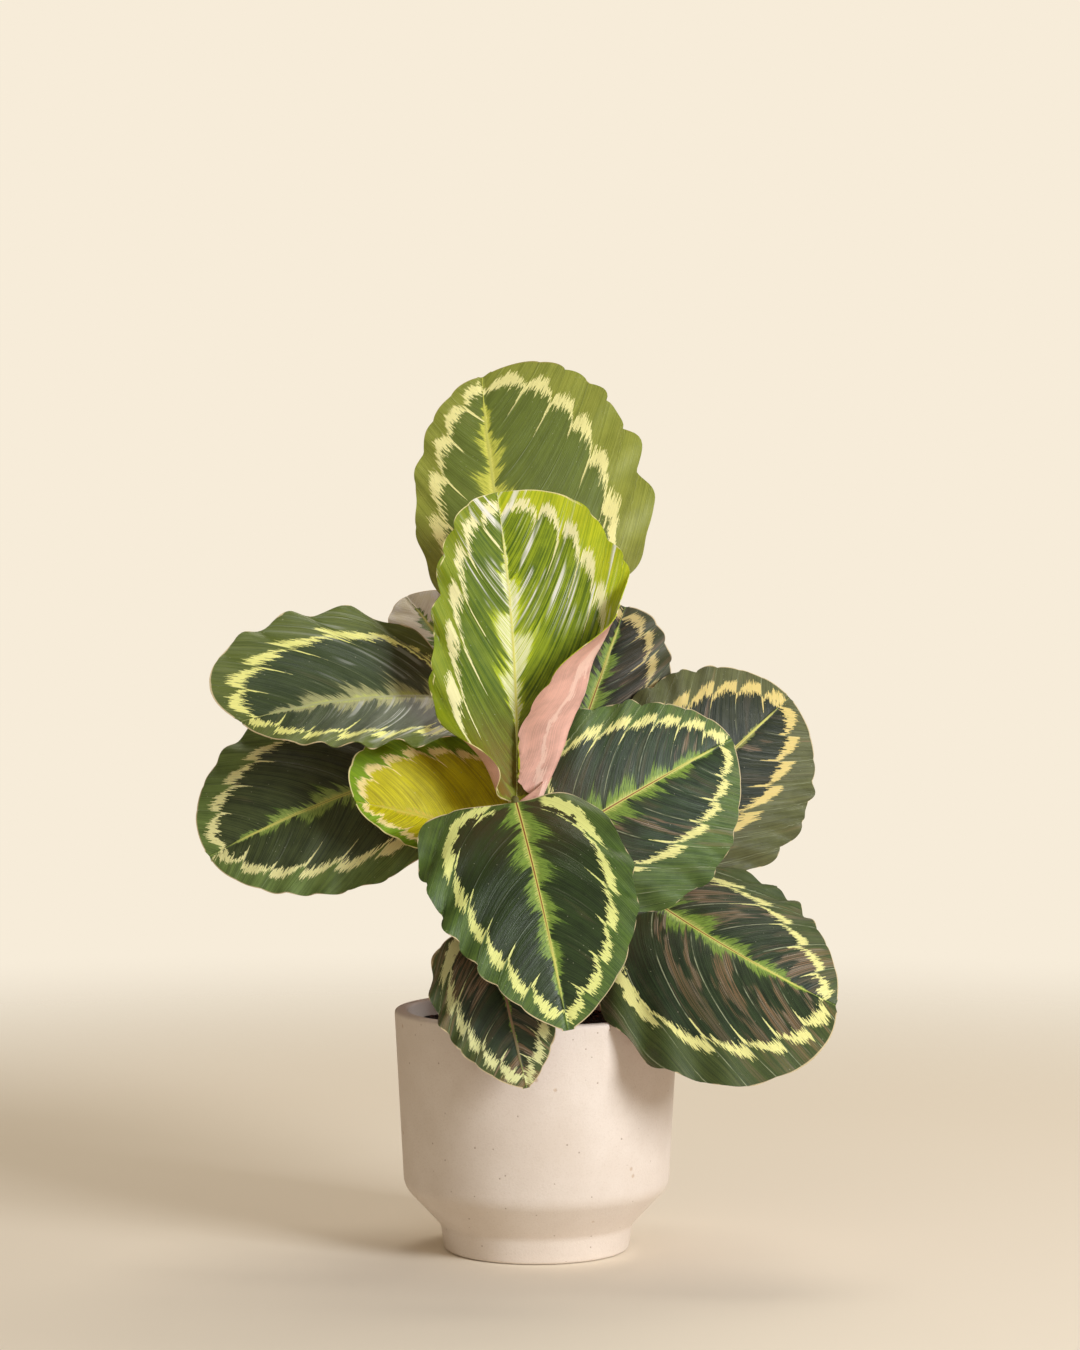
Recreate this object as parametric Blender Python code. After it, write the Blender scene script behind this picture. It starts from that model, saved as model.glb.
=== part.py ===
"""A potted calathea: a stoneware pot, its soil, and fifteen patterned leaves, each a blade on its stalk.

The pot stands on the XY plane with its axis on Z, and the plant's best side faces -Y.
Lengths below are in millimetres and angles in degrees, and MM turns them into Blender's metres.
"""

import math
import random
from dataclasses import dataclass

import bmesh
import bpy
from mathutils import Vector

MM = 0.001
WELD = 1e-6

# Pot
POT_HEIGHT = 135.0
RIM_RADIUS = 80.0
SHOULDER_RADIUS = 74.6
SHOULDER_HEIGHT = 36.0
NECK_RADIUS = 54.0
NECK_HEIGHT = 14.0
FOOT_RADIUS = 52.0
WALL = 7.5
BASE_THICKNESS = 9.0
POT_SEGMENTS = 40

# Soil
TOUCH_GAP = 0.3
SOIL_EDGE = 126.0
SOIL_CROWN = 3.0
SOIL_LUMP = 1.4
SOIL_SEGMENTS = 28
SOIL_RINGS = (68.0, 54.0, 40.0, 24.0, 10.0)
SOIL_SEED = 4

# Leaves
BLADE_THICKNESS = 0.8
KEEL_DEPTH = 2.8
KEEL_AT = 0.07
STATIONS = 18
END_DRAW = 0.9
FLAT = (KEEL_AT, 0.42, 0.74, 1.0)
ROLLED = (KEEL_AT, 0.22, 0.31, 0.39, 0.47, 0.55, 0.63, 0.72, 0.85, 1.0)
ROLL_SPANS = ((0.0, 0.35), (0.19, 0.9))
ROLL_PLACES = ((-0.1, 0.65), (0.14, 0.26))
BEND_STEPS = 24
OUTLINE_BASE = 0.42
STEM_END = 0.06
LOBE_START = 0.15
VEIN_REACH = 0.42

# Stalks
STALK_FOOT = 108.0
STALK_GROUND = 131.0
STALK_RADIUS = 1.9
SHEATH_RADIUS = 3.1
JOINT_RADIUS = 2.1
STALK_POINTS = 10
STALK_GAP = 0.7
STALK_LEAN = 0.45
STALK_BEND = 0.2
HOLE_CLEARANCE = 0.45
HOLE_SIDES = 10


@dataclass(frozen=True)
class Leaf:
    """One leaf. Its right is the right hand of someone who looks at its upper side with the tip up.

    base and tip are the midrib's ends, and face is the way the upper side looks. halves are the widths of
    the flattened left and right half. root is where the stalk leaves the soil. arch is the midrib's rise
    above its chord, towards the face, and sway its bow to the right. cup is how far each half turns
    towards the face between midrib and margin, and roll how much more it turns in the lower part, along a
    line that starts at ROLL_PLACES and runs outwards up the leaf. shoulder makes a half reach forward
    beside the tip, point is the tip's sharpness, and taper how much narrower a half is towards the base.
    """

    name: str
    base: tuple
    tip: tuple
    face: tuple
    halves: tuple
    root: tuple
    arch: float = 9.0
    sway: float = 0.0
    cup: tuple = (-20.0, -20.0)
    roll: tuple = (0.0, 0.0)
    fold: float = 8.0
    ripple: float = 3.0
    waves: float = 5.0
    phase: float = 0.0
    scallop: float = 0.02
    lobe: float = 7.0
    shoulder: tuple = (0.0, 0.0)
    point: float = 0.6
    taper: tuple = (0.0, 0.0)
    columns: tuple = FLAT
    tint: tuple = (0.03, 0.12, 0.04)


OLIVE = (0.09, 0.17, 0.05)
LIME = (0.22, 0.38, 0.04)

LEAVES = (
    Leaf("top", (-8, 25, 352), (-32, 88, 496), (0, -0.9, 0.4), (48, 90), (2, 8), arch=6, sway=-4,
         ripple=4, scallop=0.03, shoulder=(8, 38), point=0.5, tint=OLIVE),
    Leaf("young", (-11, -24, 253), (-22, -10, 425), (0.05, -1, 0.05), (41, 70), (-5, -7), arch=-8, sway=4,
         cup=(0, 4), roll=(176, 176), fold=4, ripple=2.0, lobe=2, point=0.36, taper=(-0.5, 0.08),
         columns=ROLLED, tint=LIME),
    Leaf("left_high", (-46, 26, 309), (-163, -32, 298), (-0.1, -0.8, 0.6), (48, 60), (-4, 16), cup=(15, 15),
         fold=10, ripple=4.0, shoulder=(0, 60), taper=(-0.1, 0.22)),
    Leaf("left_low", (-58, 24, 271), (-185, 8, 220), (-0.1, -0.85, 0.45), (58, 68), (-23, 11),
         shoulder=(0, 22)),
    Leaf("left_young", (-16, 16, 223), (-100, -26, 253), (-0.3, -0.9, 0.5), (26, 50), (-17, -1),
         cup=(10, 5), lobe=3, shoulder=(0, 40), taper=(0, -0.4), tint=LIME),
    Leaf("front", (-11, -48, 254), (17, -118, 138), (0, -0.84, 0.54), (58, 62), (-2, -20), arch=12,
         point=0.7),
    Leaf("front_low", (-25, -68, 189), (-5, -102, 105), (-0.1, -0.9, 0.4), (30, 40), (-13, -19), arch=8,
         point=0.7),
    Leaf("right_low", (56, -2, 203), (164, -53, 143), (0, -0.66, 0.75), (56, 109), (17, -3), arch=10,
         cup=(-50, -48), fold=14, shoulder=(0, 30), taper=(0, 0.48)),
    Leaf("right", (24, -16, 239), (111, 18, 286), (0.5, -0.73, 0.46), (48, 66), (9, -9), arch=8,
         lobe=36, shoulder=(0, -14), taper=(-0.3, 0)),
    Leaf("right_back", (65, 30, 236), (148, 75, 308), (0.4, -0.8, 0.4), (60, 62), (19, 8), arch=8),
    Leaf("back_right", (14, 40, 256), (52, 75, 361), (0.1, -0.9, 0.35), (54, 44), (10, 15), arch=8,
         shoulder=(0, 20)),
    Leaf("back_left", (-30, 52, 300), (-77, 85, 367), (-0.3, -0.2, 0.9), (36, 46), (-10, 23), arch=6,
         lobe=2),
    Leaf("rear", (2, 48, 244), (22, 150, 214), (0, 0.35, 0.94), (56, 56), (3, 26), arch=14),
    Leaf("rear_right", (38, 44, 196), (112, 104, 176), (0.35, 0.4, 0.85), (52, 52), (18, 19), arch=12),
    Leaf("rear_left", (-36, 46, 236), (-112, 102, 214), (-0.35, 0.35, 0.87), (50, 50), (-19, 21), arch=12),
)


def clear_scene():
    """Empties the scene that the script runs in."""
    for obj in list(bpy.data.objects):
        bpy.data.objects.remove(obj)


def material(name, color, roughness):
    """A plain coloured finish."""
    made = bpy.data.materials.new(name)
    made.use_nodes = True
    shader = made.node_tree.nodes["Principled BSDF"]
    shader.inputs["Base Color"].default_value = (*color, 1.0)
    shader.inputs["Roughness"].default_value = roughness
    shader.inputs["Metallic"].default_value = 0.0
    return made


def add_object(name, bm, finish=None):
    """Puts a bmesh in the scene as a smooth-shaded object."""
    mesh = bpy.data.meshes.new(name)
    bm.to_mesh(mesh)
    bm.free()
    mesh.shade_smooth()
    mesh.set_sharp_from_angle(angle=math.radians(35))
    obj = bpy.data.objects.new(name, mesh)
    bpy.context.scene.collection.objects.link(obj)
    if finish:
        mesh.materials.append(finish)
    return obj


def rounded(corners, steps=2):
    """Points (radius, height) of a line through corners (radius, height, fillet), with soft fillets."""
    points = []
    for i, (r, z, fillet) in enumerate(corners):
        here = Vector((r, z))
        if fillet == 0 or i in (0, len(corners) - 1):
            points.append(here)
            continue
        before = Vector(corners[i - 1][:2])
        after = Vector(corners[i + 1][:2])
        start = here + (before - here).normalized() * fillet
        end = here + (after - here).normalized() * fillet
        for k in range(steps + 1):
            f = k / steps
            points.append(start * (1 - f) ** 2 + here * (2 * f * (1 - f)) + end * f ** 2)
    return points


def turned(name, profile, segments, finish=None):
    """Turns a profile of (radius, height) points, from the axis and back to it, about the Z axis."""
    bm = bmesh.new()
    verts = [bm.verts.new((r * MM, 0, z * MM)) for r, z in profile]
    edges = [bm.edges.new(pair) for pair in zip(verts, verts[1:])]
    bmesh.ops.spin(bm, geom=verts + edges, axis=(0, 0, 1), cent=(0, 0, 0), steps=segments, angle=math.tau)
    bmesh.ops.remove_doubles(bm, verts=bm.verts, dist=WELD)
    bmesh.ops.recalc_face_normals(bm, faces=bm.faces)
    return add_object(name, bm, finish)


def inner_wall(gap=0.0):
    """Corners of the pot's hollow from the axis up to its mouth, drawn in by a gap."""
    return [
        (0, BASE_THICKNESS + gap, 0),
        (NECK_RADIUS - WALL - gap, BASE_THICKNESS + gap, 5),
        (SHOULDER_RADIUS - WALL - gap, SHOULDER_HEIGHT + 3, 9),
        (RIM_RADIUS - WALL - gap, POT_HEIGHT, 0),
    ]


def make_pot():
    """The pot: a flared wall on a chamfer and a narrower foot, with a flat underside and a soft rim."""
    inside = inner_wall()
    outside = [
        (0, 0, 0),
        (FOOT_RADIUS, 0, 2.0),
        (NECK_RADIUS, NECK_HEIGHT, 2.5),
        (SHOULDER_RADIUS, SHOULDER_HEIGHT, 5.0),
        (RIM_RADIUS, POT_HEIGHT, 2.4),
    ]
    inside[-1] = (*inside[-1][:2], 2.0)
    profile = rounded(outside + inside[::-1])
    turned("pot", profile, POT_SEGMENTS, material("speckled_stoneware", (0.78, 0.68, 0.59), 0.6))


def soil_top(radius, draw):
    """Height of the soil at a place: a low crown with lumps that fade out at the wall."""
    share = radius / SOIL_RINGS[0]
    return SOIL_EDGE + SOIL_CROWN * (1 - share ** 2) + SOIL_LUMP * draw.uniform(-1, 1) * (share < 0.97)


def make_soil(leaves):
    """The soil, which fills the pot to under its rim, with a plain hole for each stalk."""
    inside = inner_wall(TOUCH_GAP)
    below, mouth = inside[-2:]
    lean = (mouth[0] - below[0]) / (mouth[1] - below[1])
    inside[-1] = (mouth[0] - (POT_HEIGHT - SOIL_EDGE) * lean, SOIL_EDGE, 0)
    crown = [Vector((r, SOIL_EDGE + 1)) for r in (*SOIL_RINGS, 0)]
    profile = rounded(inside) + crown
    soil = turned("soil", profile, SOIL_SEGMENTS, material("potting_soil", (0.035, 0.022, 0.015), 0.95))
    draw = random.Random(SOIL_SEED)
    for vert in soil.data.vertices:
        if vert.co.z > (SOIL_EDGE + 0.5) * MM:
            vert.co.z = soil_top(vert.co.xy.length / MM, draw) * MM
    for leaf in leaves:
        cut_hole(soil, leaf)


def cut_hole(soil, leaf):
    """Sinks a stalk's hole in the soil with a hidden cutter."""
    bm = bmesh.new()
    radius = (SHEATH_RADIUS + HOLE_CLEARANCE) * MM
    depth = (STALK_GROUND - STALK_FOOT + 2 * HOLE_CLEARANCE + 5) * MM
    sizes = {"radius1": radius, "radius2": radius, "depth": depth}
    bmesh.ops.create_cone(bm, cap_ends=True, segments=HOLE_SIDES, **sizes)
    cutter = add_object("hole_" + leaf.name, bm)
    cutter.location = (leaf.root[0] * MM, leaf.root[1] * MM, (STALK_FOOT - HOLE_CLEARANCE) * MM + depth / 2)
    cutter.hide_render = True
    cutter.display_type = "WIRE"
    hole = soil.modifiers.new("hole_" + leaf.name, "BOOLEAN")
    hole.operation = "DIFFERENCE"
    hole.object = cutter


def outline(leaf, t):
    """Half width of a blade as a share of its greatest, at the share t of its length from the base."""
    peak = OUTLINE_BASE / (OUTLINE_BASE + leaf.point)
    full = peak ** OUTLINE_BASE * (1 - peak) ** leaf.point
    t = min(max(t, 1e-9), 1 - 1e-9)
    return max(t ** OUTLINE_BASE * (1 - t) ** leaf.point / full, STEM_END)


def midrib(leaf, t):
    """The midrib's point, direction, right and up at t."""
    base, tip = Vector(leaf.base), Vector(leaf.tip)
    chord = tip - base
    right = chord.cross(Vector(leaf.face)).normalized()
    up = right.cross(chord).normalized()
    bow = up * leaf.arch + right * leaf.sway
    point = base + chord * t + bow * (4 * t * (1 - t))
    forward = (chord + bow * (4 * (1 - 2 * t))).normalized()
    right = forward.cross(up).normalized()
    return point, forward, right, right.cross(forward)


def smooth(value, low, high):
    """0 below low, 1 above high, and a soft step between them."""
    f = min(max((value - low) / (high - low), 0), 1)
    return f * f * (3 - 2 * f)


def bend(leaf, hand, t, share):
    """How far across and towards the face a half has come at a share of its greatest width, taken as 1."""
    cup = math.radians(leaf.cup[hand])
    roll = math.radians(leaf.roll[hand]) * (1 - smooth(t, *ROLL_SPANS[hand]))
    start, end = ROLL_PLACES[hand]
    across, rise = 0.0, 0.0
    for k in range(BEND_STEPS):
        place = share * (k + 0.5) / BEND_STEPS
        turn = math.radians(leaf.fold) + cup * place + roll * smooth(place, start + t, end + t)
        across += math.cos(turn) * share / BEND_STEPS
        rise += math.sin(turn) * share / BEND_STEPS
    return across, rise


def blade_point(leaf, t, s):
    """A point of the upper side, where s runs from -1 at the left margin to 1 at the right one."""
    point, forward, right, up = midrib(leaf, t)
    hand = 1 if s > 0 else 0
    phase = math.tau * (leaf.waves * t + 0.37 * hand + leaf.phase)
    share = outline(leaf, t) * abs(s)
    reach = leaf.halves[hand] * (1 + leaf.scallop * share * math.sin(phase + 1.3))
    reach *= 1 - leaf.taper[hand] * (1 - t) ** 2
    across, rise = (reach * value for value in bend(leaf, hand, t, share))
    rise += leaf.ripple * share ** 2.5 * math.sin(phase - math.tau * leaf.waves * VEIN_REACH * share)
    ahead = leaf.shoulder[hand] * share * t ** 2
    behind = leaf.lobe * max(0, share - LOBE_START) ** 1.5 * (1 - t) ** 3
    return point + right * math.copysign(across, s) + up * rise + forward * (ahead - behind)


def station(f):
    """The share of the length at a row of the grid: rows lie closer together near the ends."""
    return f + END_DRAW * ((1 - math.cos(math.pi * f)) / 2 - f)


def make_blade(leaf):
    """The blade: a bent grid, split into triangles alike on both faces, with a keel under its midrib."""
    bm = bmesh.new()
    places = [-place for place in leaf.columns[::-1]] + [0] + list(leaf.columns)
    columns = len(places) - 1
    bmesh.ops.create_grid(bm, x_segments=columns, y_segments=STATIONS, size=1)
    keel = {}
    for vert in bm.verts:
        column = round((vert.co.x + 1) / 2 * columns)
        t = station((vert.co.y + 1) / 2)
        keel[vert.index] = (1 - 0.8 * t) if column == columns // 2 else 0.0
        vert.co = blade_point(leaf, t, places[column]) * MM
    bmesh.ops.triangulate(bm, faces=bm.faces)
    blade = add_object("blade_" + leaf.name, bm, material("leaf_" + leaf.name, leaf.tint, 0.35))
    group = blade.vertex_groups.new(name="keel")
    for index, weight in keel.items():
        group.add([index], weight, "REPLACE")
    depth = blade.modifiers.new("depth", "SOLIDIFY")
    depth.thickness = KEEL_DEPTH * MM
    depth.offset = -1
    depth.vertex_group = group.name
    depth.thickness_vertex_group = BLADE_THICKNESS / KEEL_DEPTH


def stalk_end(leaf):
    """Centre of the stalk's end, just short of the blade and level with its keel, and the way it points."""
    point, forward, _, up = midrib(leaf, 0)
    return point - up * (KEEL_DEPTH / 2) - forward * STALK_GAP, forward


def stalk_path(leaf):
    """Points of the stalk from its foot in the soil to the blade, each with its radius."""
    foot = Vector((*leaf.root, STALK_FOOT))
    ground = Vector((*leaf.root, STALK_GROUND))
    end, forward = stalk_end(leaf)
    length = (end - ground).length
    lean = ground + Vector((0, 0, STALK_LEAN * length))
    approach = end - forward * (STALK_BEND * length)
    path = [(foot, SHEATH_RADIUS), (ground, SHEATH_RADIUS)]
    for k in range(1, STALK_POINTS):
        f = k / (STALK_POINTS - 1)
        point = (ground * (1 - f) ** 3 + lean * (3 * f * (1 - f) ** 2)
                 + approach * (3 * f * f * (1 - f)) + end * f ** 3)
        sheath = (SHEATH_RADIUS - STALK_RADIUS) * max(0, 1 - f / 0.6)
        joint = (JOINT_RADIUS - STALK_RADIUS) * (0.85 < f < 1)
        path.append((point, STALK_RADIUS + sheath + joint))
    return path


def make_stalk(leaf):
    """The stalk, with its sheathed foot: a tapering round curve."""
    curve = bpy.data.curves.new("stalk_" + leaf.name, "CURVE")
    curve.dimensions = "3D"
    curve.bevel_depth = MM
    curve.bevel_resolution = 1
    curve.use_fill_caps = True
    path = stalk_path(leaf)
    spline = curve.splines.new("POLY")
    spline.points.add(len(path) - 1)
    for target, (point, radius) in zip(spline.points, path):
        target.co = (*(point * MM), 1)
        target.radius = radius
    curve.materials.append(material("stalk_" + leaf.name, (0.28, 0.22, 0.12), 0.5))
    bpy.context.scene.collection.objects.link(bpy.data.objects.new("stalk_" + leaf.name, curve))


def main():
    clear_scene()
    make_pot()
    make_soil(LEAVES)
    for leaf in LEAVES:
        make_blade(leaf)
        make_stalk(leaf)


main()
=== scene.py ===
"""Looks of a potted calathea: ring-patterned leaves on stalks, in soil, in a speckled stoneware pot.

Lengths are in millimetres and angles in degrees, and MM turns lengths into Blender's metres. The leaves
repeat the formulas of the part's own source, with finer meshes, pleats between the side veins and markings
that follow each leaf's length, width and veins.
"""

import logging
import math
import random
from collections.abc import Callable
from dataclasses import dataclass, field, replace
from enum import Enum

import bpy
import numpy as np
from mathutils import Matrix, Vector, noise


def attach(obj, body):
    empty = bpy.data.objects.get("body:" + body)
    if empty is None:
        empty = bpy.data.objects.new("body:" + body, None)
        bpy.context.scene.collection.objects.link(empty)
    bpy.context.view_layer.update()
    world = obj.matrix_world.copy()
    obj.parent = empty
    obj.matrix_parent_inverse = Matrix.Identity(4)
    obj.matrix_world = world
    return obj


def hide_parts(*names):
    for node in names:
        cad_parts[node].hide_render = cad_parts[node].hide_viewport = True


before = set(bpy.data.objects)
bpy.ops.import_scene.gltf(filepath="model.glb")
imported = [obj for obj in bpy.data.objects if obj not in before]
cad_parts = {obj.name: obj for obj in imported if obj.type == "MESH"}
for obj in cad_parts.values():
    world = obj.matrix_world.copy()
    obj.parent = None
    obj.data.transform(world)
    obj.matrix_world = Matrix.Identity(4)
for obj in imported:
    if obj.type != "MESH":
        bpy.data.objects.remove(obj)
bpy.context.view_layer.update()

MM = 0.001
BODY = "root"
LOG = logging.getLogger("calathea")

Array = np.ndarray
Object = bpy.types.Object
Material = bpy.types.Material
Pair = tuple[float, float]
Point = tuple[float, float, float]
Tint = tuple[int, int, int]


def linear(tint: Tint) -> tuple[float, ...]:
    """Turns a colour as seen on a screen into the linear colour, with an alpha of 1, that a shader takes."""
    shares = [part / 255 for part in tint]
    return (*(s / 12.92 if s < 0.04045 else ((s + 0.055) / 1.055) ** 2.4 for s in shares), 1.0)


def step_between(value: Array, low: Array | float, high: Array | float) -> Array:
    """A soft step: 0 below low, 1 above high and a smooth rise between them."""
    share = np.clip((value - low) / (high - low), 0, 1)
    return share * share * (3 - 2 * share)


def unit(rows: Array) -> Array:
    """Scales each row to length 1."""
    return rows / np.maximum(np.linalg.norm(rows, axis=-1, keepdims=True), 1e-12)


def reckoner(operation: str, swapped: bool = False) -> Callable[..., "Signal"]:
    """Makes a method of Signal from one operation of the Math node.

    Args:
        operation: the operation.
        swapped: whether the other value comes first.

    Returns:
        The method, which takes the other value if the operation has one.
    """
    def method(signal: "Signal", other: "Value" = 0.0) -> "Signal":
        """Reckons with the signal and the other value."""
        first, second = (other, signal) if swapped else (signal, other)
        return signal.bench.node("Math", 0, {0: first, 1: second}, operation=operation)
    return method


class Signal:
    """A socket that can be reckoned with, so that a pattern reads as a formula."""

    __add__ = __radd__ = reckoner("ADD")
    __sub__ = reckoner("SUBTRACT")
    __rsub__ = reckoner("SUBTRACT", swapped=True)
    __mul__ = __rmul__ = reckoner("MULTIPLY")
    __truediv__ = reckoner("DIVIDE")
    __pow__ = reckoner("POWER")
    floor = reckoner("FLOOR")
    fract = reckoner("FRACT")
    size = reckoner("ABSOLUTE")
    most = reckoner("MAXIMUM")
    least = reckoner("MINIMUM")
    above = reckoner("GREATER_THAN")

    def __init__(self, bench: "Bench", socket: bpy.types.NodeSocket) -> None:
        """Holds the socket and the bench that its nodes are made on."""
        self.bench = bench
        self.socket = socket

    def rise(self, low: float, high: float) -> "Signal":
        """A soft step from 0 at low to 1 at high, which falls if low is above high."""
        ends = {"Value": self, "From Min": low, "From Max": high}
        return self.bench.node("MapRange", "Result", ends, interpolation_type="SMOOTHSTEP")


Value = Signal | float
Paint = Signal | Tint


class Bench:
    """The bench where one material is made: its node tree and one method for each kind of node."""

    def __init__(self, name: str) -> None:
        """Starts a material of that name with its principled shader."""
        self.material = bpy.data.materials.new(name)
        self.material.use_nodes = True
        self.tree = self.material.node_tree
        self.shader = self.tree.nodes["Principled BSDF"]

    def plug(self, socket: bpy.types.NodeSocket, value: Value | Paint) -> None:
        """Links a signal to a socket, or sets a number or a tint on it.

        Args:
            socket: the socket.
            value: what goes into it.
        """
        if isinstance(value, Signal):
            self.tree.links.new(value.socket, socket)
        else:
            socket.default_value = linear(value) if isinstance(value, tuple) else value

    def node(self, kind: str, output: int | str, inputs: dict[int | str, Value | Paint],
             **settings: str) -> Signal:
        """Adds a node.

        Args:
            kind: its type, without the word that starts every shader node's type.
            output: the output that is read.
            inputs: what goes into its sockets.
            settings: its own settings.

        Returns:
            The output.
        """
        node = self.tree.nodes.new("ShaderNode" + kind)
        for name, value in settings.items():
            setattr(node, name, value)
        for name, value in inputs.items():
            self.plug(node.inputs[name], value)
        return Signal(self, node.outputs[output])

    def field(self, name: str, output: str = "Fac") -> Signal:
        """Reads an attribute of the mesh."""
        return self.node("Attribute", output, {}, attribute_name=name)

    def place(self) -> Signal:
        """The point's object coordinates, in metres."""
        return self.node("TexCoord", "Object", {})

    def part_of(self, vector: Signal) -> tuple[Signal, ...]:
        """Splits a vector into its three parts."""
        first = self.node("SeparateXYZ", 0, {0: vector})
        return tuple(Signal(self, output) for output in first.socket.node.outputs)

    def vector(self, x: Value, y: Value, z: Value = 0.0) -> Signal:
        """Joins three parts into a vector."""
        return self.node("CombineXYZ", 0, {0: x, 1: y, 2: z})

    def cloud(self, at: Signal, scale: float, detail: float = 2.0, rough: float = 0.5) -> Signal:
        """Noise around 0 with so many bumps per unit, so many finer layers and their strength."""
        layers = {"Vector": at, "Scale": scale, "Detail": detail, "Roughness": rough}
        return self.node("TexNoise", "Fac", layers) * 2.0 - 1.0

    def line_noise(self, along: Signal, scale: float, detail: float, rough: float) -> Signal:
        """Noise along one number, with the measures of cloud."""
        layers = {"W": along, "Scale": scale, "Detail": detail, "Roughness": rough, "Lacunarity": 2.7}
        return self.node("TexNoise", "Fac", layers, noise_dimensions="1D") * 2.0 - 1.0

    def draw(self, number: Signal) -> Signal:
        """One random number from 0 to 1 for each whole number."""
        return self.node("TexWhiteNoise", "Value", {"W": number}, noise_dimensions="1D")

    def specks(self, at: Signal, scale: float) -> tuple[Signal, Signal]:
        """Scattered points.

        Args:
            at: the place.
            scale: points per unit.

        Returns:
            The distance from the nearest point, and a random number for each point.
        """
        distance = self.node("TexVoronoi", "Distance", {"Vector": at, "Scale": scale})
        red, _, _ = self.part_of(Signal(self, distance.socket.node.outputs["Color"]))
        return distance, red

    def paint(self, ground: Paint, *layers: tuple[Value, Paint]) -> Signal:
        """Lays colours over one another.

        Args:
            ground: the lowest colour.
            layers: how much of each further colour shows, from 0 to 1, and the colour.

        Returns:
            The mixed colour.
        """
        for share, over in layers:
            ground = self.node("Mix", 2, {0: share, 6: ground, 7: over}, data_type="RGBA")
        return ground

    def finish(self, color: Paint, roughness: Value, specular: float) -> None:
        """Sets the shader's colour, roughness and specular level."""
        values = {"Base Color": color, "Roughness": roughness, "Specular IOR Level": specular}
        for name, value in values.items():
            self.plug(self.shader.inputs[name], value)

    def relief(self, height: Signal, depth: float) -> None:
        """Raises the surface by a height signal, by so many millimetres for each unit of it."""
        bump = self.node("Bump", "Normal", {"Strength": 1.0, "Distance": depth * MM, "Height": height})
        self.plug(self.shader.inputs["Normal"], bump)


def deselect() -> None:
    """Leaves edit mode and lets go of every object."""
    if bpy.context.object and bpy.context.object.mode != "OBJECT":
        bpy.ops.object.mode_set(mode="OBJECT")
    bpy.ops.object.select_all(action="DESELECT")


def pick(obj: Object) -> None:
    """Makes an object the only one selected and the active one.

    Args:
        obj: the object.
    """
    deselect()
    obj.select_set(True)
    bpy.context.view_layer.objects.active = obj


def named(name: str) -> Object:
    """Names the object that was just added, and its mesh.

    Args:
        name: the name.

    Returns:
        The object.
    """
    obj = bpy.context.object
    obj.name = name
    obj.data.name = name
    return obj


def smooth(angle: float) -> None:
    """Shades the active object smooth where its faces meet at less than an angle."""
    bpy.ops.object.shade_smooth_by_angle(angle=math.radians(angle))


def raise_rings(name: str, rings: list[Pair], segments: int, fill: str) -> Object:
    """Raises a closed round body ring by ring from a disc.

    Args:
        name: the body's name.
        rings: radius and height of each ring, the disc's own first.
        segments: corners of each ring.
        fill: how the disc is filled.

    Returns:
        The body.
    """
    deselect()
    radius, height = rings[0]
    bpy.ops.mesh.primitive_circle_add(vertices=segments, radius=radius * MM, fill_type=fill,
                                      location=(0, 0, height * MM))
    body = named(name)
    bpy.ops.object.transform_apply()
    bpy.ops.object.mode_set(mode="EDIT")
    for next_radius, next_height in rings[1:]:
        rise_by = (0, 0, (next_height - height) * MM)
        bpy.ops.mesh.extrude_region_move(TRANSFORM_OT_translate={"value": rise_by})
        scale = next_radius / radius
        pivot = (0, 0, next_height * MM)
        bpy.ops.transform.resize(value=(scale, scale, 1), center_override=pivot)
        radius, height = next_radius, next_height
    bpy.ops.mesh.select_all(action="SELECT")
    bpy.ops.mesh.normals_make_consistent(inside=False)
    bpy.ops.object.mode_set(mode="OBJECT")
    return body


def settle(obj: Object, slot: str, *nodes: str) -> None:
    """Makes a finished piece part of the model.

    Args:
        obj: the piece.
        slot: the record's material slot for the piece; not used.
        nodes: the CAD nodes that it stands for.
    """
    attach(obj, BODY)
    if nodes:
        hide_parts(*nodes)
    faces = sum(len(face.vertices) - 2 for face in obj.data.polygons)
    LOG.info("%s: %d triangles", obj.name, faces)


# The part's own values and formulas for the leaves
KEEL_DEPTH = 2.8
BEND_STEPS = 24
ROLL_SPANS = ((0.0, 0.35), (0.19, 0.9))
ROLL_PLACES = ((-0.1, 0.65), (0.14, 0.26))
OUTLINE_BASE = 0.42
STEM_END = 0.06
LOBE_START = 0.15
VEIN_REACH = 0.42
# How far the right half's side veins lag behind the left half's, in spaces between veins
VEIN_LAG = 0.37
# What sets the right half's random numbers apart from the left half's
RIGHT_SALT = 37.7
RIGHT_DRAW = 50.0


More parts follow.
